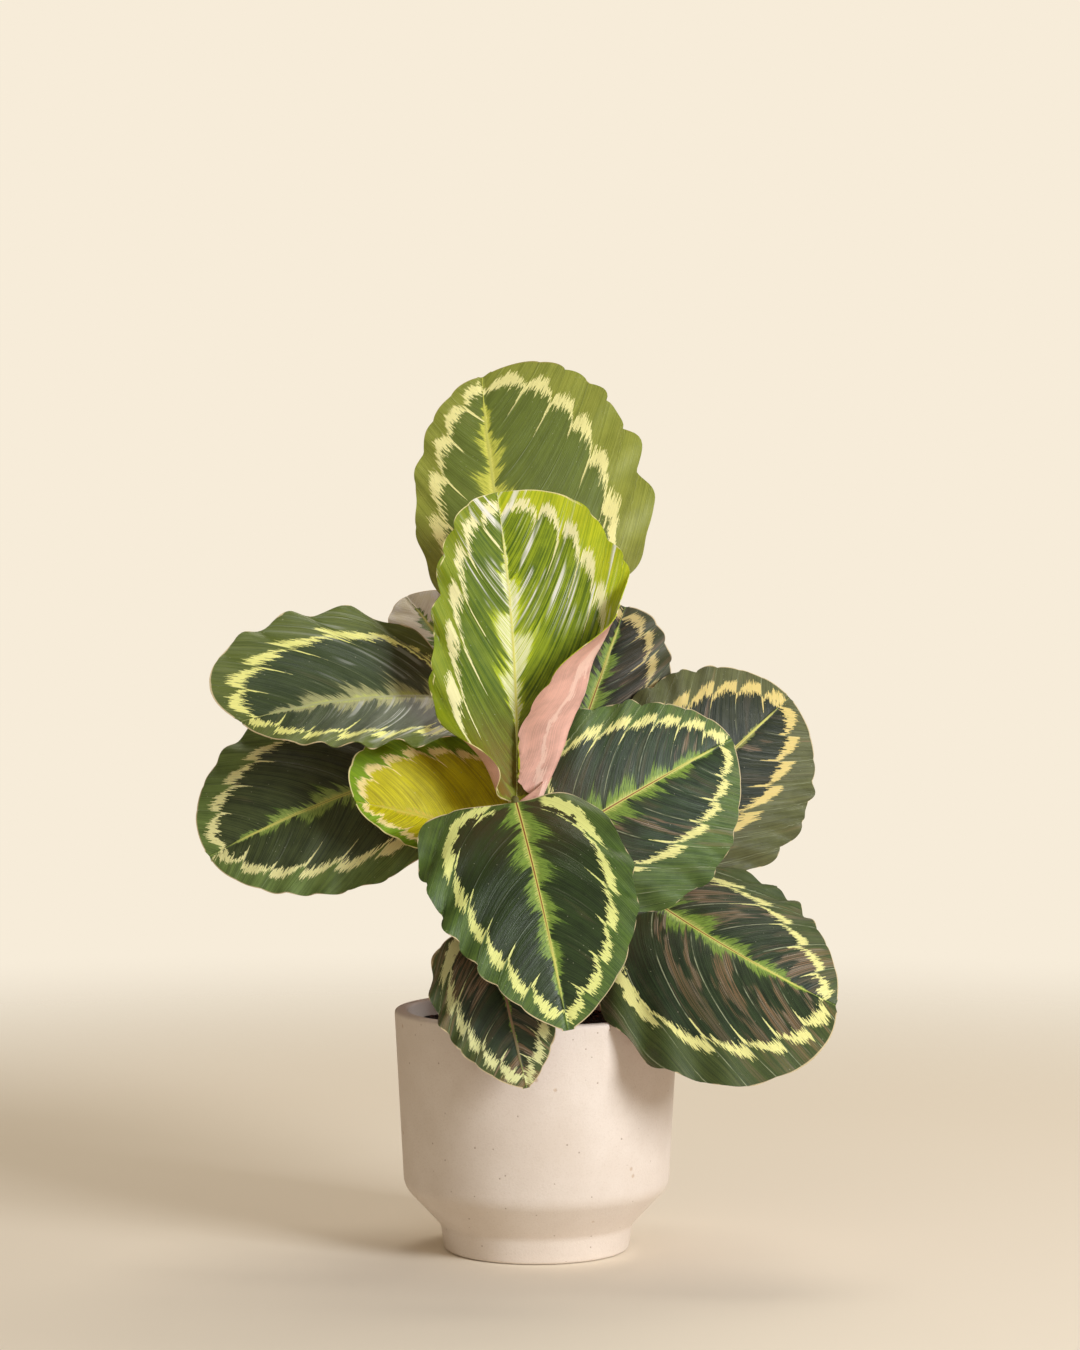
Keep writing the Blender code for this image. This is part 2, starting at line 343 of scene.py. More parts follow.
@dataclass(frozen=True)
class LeafShape:
    """One leaf's form. Its right is the right hand of someone who looks at its upper side, tip up.

    base and tip are the midrib's ends, and face is the way the upper side looks. halves are the widths of
    the flattened left and right half. root is where the stalk leaves the soil. arch and sway bow the midrib
    towards the face and to the right. cup and roll turn each half towards the face. shoulder makes a half
    reach forward beside the tip, point is the tip's sharpness, and taper narrows a half towards the base.
    pleat is the height of the folds between side veins, and frill how far the margin swells between them.
    veins is how steeply the side veins run towards the tip at the midrib, and how much steeper further out.
    In its methods, t is the share of the leaf's length, share that of its greatest half width, and hand is 0
    on the left half and 1 on the right one.
    """

    name: str
    base: Point
    tip: Point
    face: Point
    halves: Pair
    root: Pair
    arch: float = 9.0
    sway: float = 0.0
    cup: Pair = (-20.0, -20.0)
    roll: Pair = (0.0, 0.0)
    fold: float = 8.0
    ripple: float = 3.0
    waves: float = 5.0
    scallop: float = 0.02
    lobe: float = 7.0
    shoulder: Pair = (0.0, 0.0)
    point: float = 0.6
    taper: Pair = (0.0, 0.0)
    pleat: float = 0.5
    frill: float = 2.0
    veins: Pair = (0.6, 0.75)

    def outline(self, t: Array) -> Array:
        """The leaf's outline before its halves are scaled.

        Args:
            t: share of the length.

        Returns:
            Half width as a share of the greatest.
        """
        peak = OUTLINE_BASE / (OUTLINE_BASE + self.point)
        full = peak ** OUTLINE_BASE * (1 - peak) ** self.point
        t = np.clip(t, 1e-9, 1 - 1e-9)
        return np.maximum(t ** OUTLINE_BASE * (1 - t) ** self.point / full, STEM_END)

    def midrib(self, t: Array) -> tuple[Array, Array, Array, Array]:
        """The midrib's course.

        Args:
            t: share of the length.

        Returns:
            Points of the midrib, with its direction, its right and its up at each.
        """
        base = np.array(self.base, float)
        chord = np.array(self.tip, float) - base
        right = unit(np.cross(chord, np.array(self.face, float)))
        up = unit(np.cross(right, chord))
        bow = up * self.arch + right * self.sway
        t = t[..., None]
        point = base + chord * t + bow * (4 * t * (1 - t))
        forward = unit(chord + bow * (4 * (1 - 2 * t)))
        right = unit(np.cross(forward, up))
        return point, forward, right, np.cross(right, forward)

    def bend(self, hand: Array, t: Array, share: Array) -> tuple[Array, Array]:
        """How a half of width 1 bends.

        Args:
            hand: the half.
            t: share of the length.
            share: share of the half width.

        Returns:
            How far across, and how far towards the face, the surface has come.
        """
        cup = np.radians(np.array(self.cup))[hand]
        spans = np.array(ROLL_SPANS)[hand]
        places = np.array(ROLL_PLACES)[hand] + t[..., None]
        roll = np.radians(np.array(self.roll))[hand] * (1 - step_between(t, spans[..., 0], spans[..., 1]))
        across = np.zeros_like(share)
        rise = np.zeros_like(share)
        for k in range(BEND_STEPS):
            place = share * (k + 0.5) / BEND_STEPS
            rolled = step_between(place, places[..., 0], places[..., 1])
            turn = math.radians(self.fold) + cup * place + roll * rolled
            across += np.cos(turn) * share / BEND_STEPS
            rise += np.sin(turn) * share / BEND_STEPS
        return across, rise

    def wave(self, hand: Array, t: Array) -> Array:
        """Where a place lies between two ripples of the margin, as an angle."""
        return math.tau * (self.waves * t + VEIN_LAG * hand)

    def reach(self, hand: Array, t: Array, share: Array) -> Array:
        """Width of the half, with the margin's scallops and the taper."""
        width = np.array(self.halves, float)[hand]
        width = width * (1 + self.scallop * share * np.sin(self.wave(hand, t) + 1.3))
        return width * (1 - np.array(self.taper)[hand] * (1 - t) ** 2)

    def surface(self, t: Array, s: Array) -> Array:
        """The upper side.

        Args:
            t: share of the length.
            s: place across, from -1 at the left margin to 1 at the right one.

        Returns:
            Points of the upper side.
        """
        point, forward, right, up = self.midrib(t)
        hand = (s > 0).astype(int)
        share = self.outline(t) * np.abs(s)
        across, rise = (self.reach(hand, t, share) * value for value in self.bend(hand, t, share))
        wave = self.wave(hand, t) - math.tau * self.waves * VEIN_REACH * share
        rise = rise + self.ripple * share ** 2.5 * np.sin(wave)
        ahead = np.array(self.shoulder)[hand] * share * t ** 2
        behind = self.lobe * np.maximum(0, share - LOBE_START) ** 1.5 * (1 - t) ** 3
        return (point + right * np.copysign(across, s)[..., None] + up * rise[..., None]
                + forward * (ahead - behind)[..., None])

    def length(self) -> float:
        """Length of the midrib's chord."""
        return float(np.linalg.norm(np.subtract(self.tip, self.base)))



LEAVES = (
    LeafShape(
        "top", (-8, 25, 352), (-32, 88, 496), (0, -0.9, 0.4), (48, 90), (2, 8), arch=6, sway=-4, ripple=1.3,
        scallop=0.03, shoulder=(2, 57), point=0.62, pleat=0.3, frill=3.5,
    ),
    LeafShape(
        "young", (-11, -24, 253), (-22, -10, 425), (0.05, -1, 0.05), (41, 70), (-5, -7), arch=-8, sway=4,
        cup=(0, 4), roll=(176, 176), fold=4, ripple=2.0, lobe=2, point=0.36, taper=(-0.5, -0.03),
        scallop=0.035, frill=6.0, veins=(1.25, 0.9),
    ),
    LeafShape(
        "left_high", (-46, 26, 309), (-163, -32, 298), (-0.1, -0.8, 0.6), (48, 60), (-4, 16), cup=(15, 15),
        fold=10, ripple=4.0, shoulder=(0, 60), taper=(-0.1, 0.22), frill=1.4,
    ),
    LeafShape(
        "left_low", (-58, 24, 271), (-185, 8, 220), (-0.1, -0.85, 0.45), (58, 68), (-23, 11),
        shoulder=(0, 22), scallop=0.012, frill=1.2,
    ),
    LeafShape(
        "left_young", (-16, 16, 223), (-100, -26, 253), (-0.3, -0.9, 0.5), (26, 50), (-17, -1), cup=(10, 5),
        lobe=3, shoulder=(0, 40), taper=(0, -0.4),
    ),
    LeafShape(
        "front", (-11, -48, 254), (17, -118, 138), (0, -0.84, 0.54), (58, 53), (-2, -20), arch=12,
        point=0.7, lobe=30, taper=(0.25, -0.3), frill=3.2,
    ),
    LeafShape(
        "front_low", (-25, -68, 189), (-5, -102, 105), (-0.1, -0.9, 0.4), (30, 40), (-13, -19), arch=8,
        point=0.7,
    ),
    LeafShape(
        "right_low", (56, -2, 203), (164, -53, 143), (0, -0.66, 0.75), (66, 99), (17, -3), arch=10, sway=11,
        cup=(-50, -48), fold=14, shoulder=(0, 30), taper=(0, 0.48),
    ),
    LeafShape(
        "right", (17, -18.5, 235), (111, 18, 286), (0.5, -0.73, 0.46), (48, 66), (9, -9), arch=8, lobe=50,
        shoulder=(0, -14), taper=(-0.5, 0.05),
    ),
    LeafShape("right_back", (65, 30, 236), (148, 75, 308), (0.4, -0.8, 0.4), (60, 62), (19, 8), arch=8),
    LeafShape(
        "back_right", (14, 40, 256), (52, 75, 361), (0.1, -0.9, 0.35), (54, 44), (10, 15), arch=8,
        shoulder=(0, 20),
    ),
    LeafShape(
        "back_left", (-30, 52, 300), (-77, 85, 367), (-0.3, -0.2, 0.9), (36, 46), (-10, 23), arch=6, lobe=2,
    ),
    LeafShape("rear", (2, 48, 244), (22, 150, 214), (0, 0.35, 0.94), (56, 56), (3, 26), arch=14),
    LeafShape("rear_right", (38, 44, 196), (112, 104, 176), (0.35, 0.4, 0.85), (52, 52), (18, 19), arch=12),
    LeafShape(
        "rear_left", (-36, 46, 236), (-112, 102, 214), (-0.35, 0.35, 0.87), (50, 50), (-19, 21), arch=12,
    ),
)


@dataclass(frozen=True)
class LeafLook:
    """A leaf's colours and the measures of its markings.

    outer is the band along the margin and inner the field between ring and feather, each with the colour
    of its vein stripes, and stripes is how many of these lie between two side veins. flush tints the field
    near the base. ring, feather and core are the pale markings, rib the midrib with its edge, rim the
    margin's line, bruise the streaks of age between veins, and glint the painted highlight
    on the veins. gleam is the painted whitish highlight on the folds between them, which comes in
    along gleam_span and has its own strength on each half in gleam_halves. under and
    under_ring are the underside. ring_shares is where the ring's line lies between midrib and margin on
    each half, ring_in and ring_out how far the ring reaches in and out from it, teeth the depth of its comb,
    saw the step between one arc and the next, bulge the bow of each arc, and spike the length of the points
    at its steps. feather_reach is the feather's greatest half width, feather_fall how fast it narrows
    towards the tip, feather_from and rib_from where along the leaf it and the midrib's colour start,
    core_share how far the core fills the feather, and left_shade how much painted shade darkens
    the left half.
    """

    slot: str = "leaf"
    outer: Tint = (96, 122, 54)
    outer_vein: Tint = (60, 84, 38)
    inner: Tint = (52, 70, 34)
    inner_vein: Tint = (32, 46, 20)
    flush: Tint = (78, 66, 38)
    flush_share: float = 0.7
    ring: Tint = (240, 244, 150)
    ring_edge: Tint = (176, 190, 98)
    feather: Tint = (132, 160, 66)
    feather_vein: Tint = (62, 90, 36)
    core: Tint = (200, 208, 110)
    core_share: float = 0.18
    rib: Tint = (150, 88, 50)
    rib_edge: Tint = (216, 214, 112)
    rim: Tint = (224, 204, 160)
    bruise: Tint = (160, 122, 90)
    bruise_share: float = 0.12
    glint: Tint = (190, 196, 156)
    glint_share: float = 0.1
    gleam: float = 0.0
    gleam_tint: Tint = (255, 253, 240)
    gleam_span: Pair = (0.5, 0.65)
    gleam_halves: Pair = (1.0, 1.0)
    under: Tint = (150, 92, 92)
    under_ring: Tint = (184, 134, 116)
    ring_shares: Pair = (0.73, 0.73)
    ring_in: float = 3.0
    ring_out: float = 2.3
    teeth: float = 9.0
    saw: float = 4.2
    bulge: float = 1.8
    spike: float = 14.0
    feather_reach: float = 14.0
    feather_fall: float = 0.6
    feather_from: float = -0.12
    rib_from: float = -0.2
    left_shade: float = 0.0
    stripes: float = 36.0
    roughness: float = 0.38


class Age(Enum):
    """How old a leaf is, which sets its colours."""

    GROWN = LeafLook()
    OLD = LeafLook(
        outer=(84, 98, 52), outer_vein=(58, 72, 38), inner=(54, 70, 44), inner_vein=(26, 38, 22),
        ring=(246, 242, 158), bruise_share=0.55, glint_share=0.45,
    )
    OLIVE = LeafLook(
        slot="olive_leaf", outer=(162, 168, 72), outer_vein=(132, 140, 52), inner=(118, 134, 58),
        inner_vein=(98, 112, 44), flush=(120, 116, 60), ring=(255, 248, 168), ring_edge=(214, 214, 118),
        feather=(214, 216, 92), feather_vein=(156, 168, 58), core=(236, 232, 120), rib=(214, 214, 110),
        rib_edge=(214, 216, 104), rim=(170, 160, 84), bruise_share=0.0, ring_in=4.2, ring_out=2.4, saw=2.2,
        bulge=4.0, spike=26.0, teeth=11.0, feather_reach=17.0,
    )
    # LIME: young leaves, with painted whitish highlights on their folds and painted shade on their left half
    LIME = LeafLook(
        slot="young_leaf", outer=(204, 212, 34), outer_vein=(160, 180, 20), inner=(158, 178, 30),
        inner_vein=(78, 106, 4), flush=(132, 104, 24), flush_share=1.0, ring=(255, 250, 190),
        ring_edge=(214, 210, 70), feather=(206, 220, 40), feather_vein=(160, 184, 18), core=(255, 255, 214),
        core_share=0.55, rib=(232, 228, 110), rib_edge=(240, 238, 146), rim=(250, 238, 170),
        bruise_share=0.0, glint_share=0.0, gleam=0.9, under=(242, 188, 168), under_ring=(250, 216, 196),
        ring_in=3.5, ring_out=2.3, saw=7.0, bulge=5.0, spike=26.0, teeth=11.0, feather_reach=34.0,
        feather_fall=1.2, feather_from=0.2, rib_from=0.12, left_shade=0.6, stripes=14.0, roughness=0.5,
    )

    def look(self, **changes: object) -> LeafLook:
        """The look of a leaf of that age, with changes of its own."""
        return replace(self.value, **changes)


LOOKS = {
    "top": Age.OLIVE.look(),
    "young": Age.LIME.look(),
    # left_high: painted grey sheen towards the base, stronger on its left half
    "left_high": Age.GROWN.look(
        outer=(110, 122, 58), outer_vein=(84, 98, 42), inner=(70, 84, 48), inner_vein=(46, 60, 32),
        ring=(252, 250, 150), glint_share=0.25, feather=(170, 170, 116), feather_vein=(110, 116, 76),
        rib=(180, 180, 130), rib_edge=(176, 180, 128), gleam=0.9, gleam_tint=(196, 200, 190),
        gleam_span=(0.75, 0.35), gleam_halves=(0.95, 0.35),
    ),
    "left_low": Age.GROWN.look(
        outer=(122, 146, 76), outer_vein=(88, 108, 54), inner=(80, 92, 54), inner_vein=(48, 58, 34),
        ring=(255, 252, 180), feather=(146, 170, 84), rib=(164, 172, 88),
    ),
    "left_young": Age.LIME.look(
        outer=(140, 176, 20), outer_vein=(104, 142, 8), inner=(222, 214, 8), inner_vein=(168, 158, 4),
        gleam=0.0, teeth=5.0, ring=(255, 238, 160), ring_edge=(222, 176, 96), core_share=0.0,
        left_shade=0.0, flush_share=0.12, spike=8.0, saw=3.0, bulge=2.5, ring_in=1.9, ring_out=1.4,
        stripes=30.0, feather_reach=8.0, feather_fall=0.6, feather_from=-0.12, feather=(214, 190, 60),
        flush=(190, 150, 70), rib=(190, 178, 40), rib_edge=(206, 196, 60),
    ),
    "front": Age.GROWN.look(),
    "front_low": Age.OLD.look(
        feather_reach=3.0, ring=(234, 236, 172), bruise_share=0.8, glint_share=0.6, rib=(172, 122, 98),
        rib_edge=(146, 132, 98),
    ),
    "right_low": Age.OLD.look(ring_shares=(0.62, 0.76), bruise_share=0.65, glint_share=0.7),
    "right": Age.OLD.look(
        outer=(104, 128, 66), outer_vein=(66, 88, 44), inner=(56, 76, 44), ring_shares=(0.73, 0.6),
        glint_share=0.6,
    ),
    "right_back": Age.OLD.look(
        outer=(112, 116, 74), outer_vein=(84, 88, 54), inner=(58, 64, 42), ring=(236, 212, 132),
        ring_in=4.6, ring_shares=(0.7, 0.56), feather=(150, 150, 84), feather_reach=5.0, saw=6.0,
        bruise_share=0.35,
    ),
    "back_right": Age.OLD.look(outer=(84, 82, 60), inner=(66, 62, 46), ring=(214, 194, 130)),
    # back_left: nearly white colours that are painted reflection and painted backlit glow on a leaf in shade
    "back_left": Age.OLD.look(
        outer=(255, 255, 244), outer_vein=(236, 230, 200), inner=(255, 252, 230),
        inner_vein=(236, 230, 204), ring=(246, 240, 212), bruise_share=0.1,
    ),
    "rear": Age.GROWN.look(),
    "rear_right": Age.OLD.look(),
    "rear_left": Age.GROWN.look(),
}


@dataclass
class Blade:
    """A leaf's blade: a fine grid bent to the leaf's form, pleated between its side veins, and dressed."""

    shape: LeafShape
    look: LeafLook
    seed: float
    columns: int = 72
    rows: int = 110
    end_draw: float = 0.6
    rib_draw: float = 1.3
    thickness: float = 0.5
    keel: float = 2.3
    ring_ends: Pair = (0.02, 0.95)
    feather_top: float = 0.88
    groove: Pair = (0.45, 2.2)
    ridge: Pair = (0.4, 0.7)
    fields: dict[str, Array] = field(default_factory=dict)

    def stations(self) -> tuple[Array, Array]:
        """Where the grid's rows and columns lie, closer together near the ends and the midrib.

        Returns:
            t of each row and s of each column.
        """
        f = np.linspace(0, 1, self.rows + 1)
        t = f + self.end_draw * ((1 - np.cos(math.pi * f)) / 2 - f)
        u = np.linspace(-1, 1, self.columns + 1)
        return t, np.sign(u) * np.abs(u) ** self.rib_draw

    def outline_points(self, share: float, ends: Pair, hand: int) -> Array:
        """A line like the leaf's own outline, drawn in to a share of its width, on the flattened leaf.

        Args:
            share: the share of the leaf's width.
            ends: t where the line starts and ends.
            hand: 0 for the left half and 1 for the right one.

        Returns:
            Points (across, along) in millimetres.
        """
        f = (1 - np.cos(np.linspace(0, math.pi, 90))) / 2
        width = self.shape.halves[hand] * (1 - self.shape.taper[hand] * (1 - f) ** 2)
        across = share * width * self.shape.outline(f) * (1 if hand else -1)
        along = (ends[0] + (ends[1] - ends[0]) * f) * self.shape.length()
        return np.column_stack((across, along))

    def outside(self, flat: Array, line: Array) -> Array:
        """How far each point of the flattened leaf lies outside a line that runs up it.

        Args:
            flat: the points.
            line: the line's own points.

        Returns:
            The distances in millimetres, negative between the line and the midrib.
        """
        best = np.full(len(flat), 1e9)
        for a, r in zip(line[:-1], np.diff(line, axis=0)):
            share = np.clip(((flat - a) @ r) / max(r @ r, 1e-9), 0, 1)
            best = np.minimum(best, np.linalg.norm(flat - a - share[:, None] * r, axis=1))
        limit = np.interp(flat[:, 1], line[:, 1], np.abs(line[:, 0]), left=0, right=0)
        return np.where(np.abs(flat[:, 0]) < limit, -best, best)

    def measure(self, t: Array, s: Array) -> None:
        """Works out the fields that the markings follow, one number for each point.

        Args:
            t: share of the length at each point.
            s: share of the half width at each point.
        """
        shape = self.shape
        hand = (s > 0).astype(int)
        share = shape.outline(t) * np.abs(s)
        side = np.sign(s) * shape.reach(hand, t, share) * share
        flat = np.column_stack((side, t * shape.length()))
        widest = np.array(shape.halves, float)[hand]
        out = np.abs(side) / widest
        near, far = shape.veins
        vein = t - widest / shape.length() * (near * out + far * out ** 2)
        along_vein = unit(np.column_stack((np.sign(s), near + 2 * far * out)))
        ring, lean, rim = np.zeros((3, len(t)))
        for here in (0, 1):
            mine = hand == here
            line = self.outline_points(self.look.ring_shares[here], self.ring_ends, here)
            ring[mine] = self.outside(flat[mine], line)
            moved = self.outside(flat[mine] + along_vein[mine], line)
            lean[mine] = np.clip(np.abs(moved - ring[mine]), 0.12, 0.55)
            margin = self.outline_points(1.0, (0.0, 1.0), here)
            rim[mine] = np.abs(self.outside(flat[mine], margin))
        ahead = np.clip(1 - vein / self.feather_top, 0, 1) ** self.look.feather_fall
        ahead = ahead * step_between(vein, self.look.feather_from, self.look.feather_from + 0.25)
        self.fields = {
            "vein": shape.waves * vein,
            "ring": ring,
            "lean": lean,
            "rim": rim,
            "along": t,
            "feather": np.minimum(np.abs(side) / np.maximum(self.look.feather_reach * ahead, 0.3), 9),
            "flat": np.column_stack((flat, np.zeros(len(t)))),
        }

    def points(self, t: Array, s: Array) -> Array:
        """The upper side, with pleats and a frilled margin.

        Args:
            t: share of the length at each point.
            s: share of the half width at each point.

        Returns:
            The points.
        """
        grid = (self.rows + 1, self.columns + 1, 3)
        plain = self.shape.surface(t, s).reshape(grid)
        outward = unit(np.gradient(plain, axis=1)) * np.sign(s).reshape(grid[:2])[..., None]
        normal = unit(np.cross(np.gradient(plain, axis=1), np.gradient(plain, axis=0)))
        part = np.abs(s)
        turn = self.fields["vein"] + VEIN_LAG * (s > 0)
        arc = np.abs(np.sin(math.pi * turn)) ** 0.7
        lobe = np.floor(turn) * 1.7 + (s > 0) * 9.1 + self.seed
        uneven = 0.4 + 1.2 * np.abs(np.sin(lobe * 12.9898))
        open_part = 1 - np.array(self.shape.roll)[(s > 0).astype(int)] / 400
        strength = step_between(part, 0.04, 0.35) * (1 - 0.45 * step_between(part, 0.75, 1.0))
        lift = self.shape.pleat * (arc - 0.6) * strength * step_between(self.shape.outline(t), 0.1, 0.6)
        side = self.fields["flat"][:, 0]
        lift = lift - self.groove[0] * np.exp(-(side / self.groove[1]) ** 2)
        lift = lift + self.ridge[0] * np.exp(-(side / self.ridge[1]) ** 2)
        frill = self.shape.frill * uneven * (arc - 0.7) * part ** 4 * open_part * self.shape.outline(t)
        moved = plain + normal * lift.reshape(grid[:2])[..., None]
        return (moved + outward * frill.reshape(grid[:2])[..., None]).reshape(-1, 3)

    def build(self) -> None:
        """Makes the blade as a closed, dressed piece."""
        deselect()
        bpy.ops.mesh.primitive_grid_add(x_subdivisions=self.columns, y_subdivisions=self.rows, size=2)
        blade = named("leaf_" + self.shape.name)
        mesh = blade.data
        corners = np.zeros(len(mesh.vertices) * 3, np.float32)
        mesh.vertices.foreach_get("co", corners)
        corners = corners.reshape(-1, 3)
        column = np.rint((corners[:, 0] + 1) / 2 * self.columns).astype(int)
        row = np.rint((corners[:, 1] + 1) / 2 * self.rows).astype(int)
        order = row * (self.columns + 1) + column
        rows_t, columns_s = self.stations()
        t = np.repeat(rows_t, self.columns + 1)
        s = np.tile(columns_s, self.rows + 1)
        self.measure(t, s)
        placed = self.points(t, s)[order] * MM
        mesh.vertices.foreach_set("co", placed.astype(np.float32).ravel())
        for name, values in self.fields.items():
            kind = "FLOAT_VECTOR" if values.ndim == 2 else "FLOAT"
            mark = mesh.attributes.new(name=name, type=kind, domain="POINT")
            mark.data.foreach_set("vector" if values.ndim == 2 else "value",
                                  values[order].astype(np.float32).ravel())
        mesh.materials.append(self.upper())
        mesh.materials.append(self.underside())
        self.thicken(blade, order)
        settle(blade, self.look.slot, "blade_" + self.shape.name)

    def thicken(self, blade: Object, order: Array) -> None:
        """Gives the blade its thickness, with a keel under the midrib.

        Args:
            blade: the blade's upper side.
            order: the place of each of its points in the fields.
        """
        side = self.fields["flat"][order, 0]
        along = self.fields["along"][order]
        weights = np.exp(-(side / 1.5) ** 2) * (1 - 0.8 * along)
        group = blade.vertex_groups.new(name="keel")
        for index in np.flatnonzero(weights > 0.01):
            group.add([int(index)], float(weights[index]), "REPLACE")
        pick(blade)
        depth = blade.modifiers.new("depth", "SOLIDIFY")
        depth.thickness = self.keel * MM
        depth.offset = -1
        depth.vertex_group = group.name
        depth.thickness_vertex_group = self.thickness / self.keel
        depth.material_offset = 1
        bpy.ops.object.modifier_apply(modifier=depth.name)
        blade.vertex_groups.clear()
        smooth(55)

    def markings(self, bench: Bench) -> dict[str, Signal]:
        """The signals that both sides of the blade share.

        Args:
            bench: the bench that the material is made on.

        Returns:
            Each mask and field by its name.
        """
        look = self.look
        flat = bench.field("flat", "Vector")
        side, _, _ = bench.part_of(flat)
        along = bench.field("along")
        right = side.above(0.0)
        turn = bench.field("vein") + right * VEIN_LAG
        salt = turn + right * RIGHT_SALT + self.seed * 3.3
        lobe, f = turn.floor(), turn.fract()
        chance = bench.draw(lobe + right * RIGHT_DRAW + self.seed)
        fine = bench.line_noise(salt, 36.0, 2.0, 0.65)
        comb_in = bench.cloud(bench.vector(salt * 19.0, side * 0.16, 3.0), 1.0, 2.0, 0.8)
        comb_out = bench.cloud(bench.vector(salt * 21.0, side * 0.16, 9.0), 1.0, 2.0, 0.8)
        jag = bench.line_noise(salt + 23.0, 7.0, 4.0, 0.65)
        bow = (f * (1.0 - f) * 4.0 - 0.6) * look.bulge
        lean = bench.field("lean")
        teeth = (lean + 0.3) * look.teeth
        step = (chance * 0.8 + 0.6) * (lean * 1.4 + 0.3) * look.saw
        waver = bench.cloud(flat, 0.15, 3.0, 0.65) * (0.62 - lean) * 9.0
        path = bench.field("ring") - (f - 0.6) * step - bow - jag * lean * 5.0 - waver
        spike = (1.0 - f / 0.09).most(0.0) * (chance * 0.9 + 0.4) * lean * look.spike
        thick = f.rise(0.0, 0.6) * 0.7 + 0.3
        inner = comb_in * teeth - thick * look.ring_in - spike
        outer = thick * look.ring_out + comb_out * teeth * 0.8
        band = (path - inner).rise(-0.13, 0.13) * (path - outer).rise(0.13, -0.13)
        opened = along.rise(0.12, 0.2).most((side.size() + jag * 4.0).rise(12.0, 15.0))
        tier = f.rise(0.0, 0.55) * (1.0 - f.rise(0.7, 1.0) * 0.8)
        reach = tier * 0.74 + 0.14 + jag * 1.3 + (chance - 0.5) * 0.3
        flame = tier * 1.1 + 0.08 + jag * 1.1
        feather = bench.field("feather")
        plume = (feather - reach).rise(0.04, -0.04)
        fringe = (feather - reach * 1.2 - fine * 0.8).rise(0.08, -0.08) * 0.3
        return {
            "flat": flat, "side": side, "along": along, "turn": turn, "salt": salt, "f": f, "fine": fine,
            "chance": chance, "comb": comb_out, "inside": path.rise(0.5, -0.5), "feather": feather,
            "band": band * opened * (fine * 1.6 + 1.25).rise(0.0, 0.5), "plume": plume.most(fringe),
            "core": (feather - flame * look.core_share - fine * 0.25 - comb_out * 0.15).rise(0.1, -0.1),
        }

    def upper(self) -> Material:
        """The upper side: margin band, field, ring, feather, midrib and rim.

        Returns:
            The finish.
        """
        look = self.look
        bench = Bench("upper_" + self.shape.name)
        marks = self.markings(bench)
        f, flat, side, along = marks["f"], marks["flat"], marks["side"], marks["along"]
        fine = marks["fine"]
        streak = bench.cloud(bench.vector(marks["turn"] * 9.0, side * 0.035, self.seed), 1.0, 2.0, 0.55)
        mottle = bench.cloud(flat, 0.09, 3.0, 0.55)
        hair = bench.line_noise(marks["salt"] + 2.0, 90.0, 1.0, 0.5)
        stripe = bench.line_noise(marks["salt"] + 17.0, look.stripes, 2.0, 0.6)
        stripes = (stripe * 1.1 + hair * 0.7 + streak * 0.9 + mottle * 0.6 + 0.45).rise(0.0, 1.0)
        base = along.rise(0.42, 0.0) * (mottle * 0.8 + streak * 0.6 + 0.8).most(0.0).least(1.0)
        base = base * (marks["inside"] * 0.6 + 0.4)
        # the streaks' colour: the tan of age, paled in places to a whitish tone that is painted sheen
        bruise_and_sheen = bench.paint(look.bruise, ((streak + 0.2).rise(0.0, 0.6) * 0.7, (206, 190, 164)))
        veins = (f * (1.0 - f)).rise(0.028, 0.0) * side.size().rise(3.0, 12.0)
        barbs = (marks["comb"] * 1.1 + fine * 0.9 + marks["feather"] * 0.4 - 0.05).rise(0.1, 0.6)
        core = marks["core"] * (fine * 2.2 + 0.55).rise(0.0, 0.9)
        plume = bench.paint(look.feather, (barbs * 0.9, look.feather_vein), (core, look.core))
        ring = bench.paint(look.ring, ((fine + 0.1).rise(0.0, 0.8) * 0.6, look.ring_edge))
        rib_width = (1.0 - along * 0.6) * along.rise(look.rib_from, look.rib_from + 0.15)
        rib_edge = (side.size() - rib_width * 1.05).rise(0.25, -0.25) * along.rise(0.92, 0.8)
        rib = (side.size() - rib_width * 0.4).rise(0.15, -0.15) * along.rise(0.75, 0.5)
        far, kind = bench.specks(flat, 0.42)
        dust = far.rise(0.13, 0.07) * kind.above(0.8)
        color = bench.paint(
            bench.paint(look.outer, (stripes, look.outer_vein)),
            (marks["inside"], bench.paint(look.inner, (stripes, look.inner_vein))),
            # painted shade: the left half darkened towards the field's vein colour
            ((1.0 - side.above(0.0)) * look.left_shade, look.inner_vein),
            (base * look.flush_share, look.flush),
            # tan streaks of age, partly paled into painted sheen
            (self.bruise_and_sheen_streaks(bench, marks), bruise_and_sheen),
            # painted highlight: pale lines along the side veins
            (veins * (mottle + 0.35).rise(0.0, 0.6) * look.glint_share, look.glint),
            (marks["plume"], plume),
            (marks["band"], ring),
            (rib_edge, look.rib_edge),
            (rib, look.rib),
            (bench.field("rim").rise(0.6, 0.3) * 0.9, look.rim),
            # painted highlight: whitish streaks on the folds between side veins
            (self.gleams(bench, marks) * look.gleam, look.gleam_tint),
            (dust * 0.45, (200, 200, 168)),
        )
        bench.finish(color, look.roughness + streak * 0.08 + mottle * 0.06, 0.34)
        bench.relief(fine * 0.6 + streak * 0.8 + mottle * 0.8 + veins * 0.9, 0.16)
        return bench.material

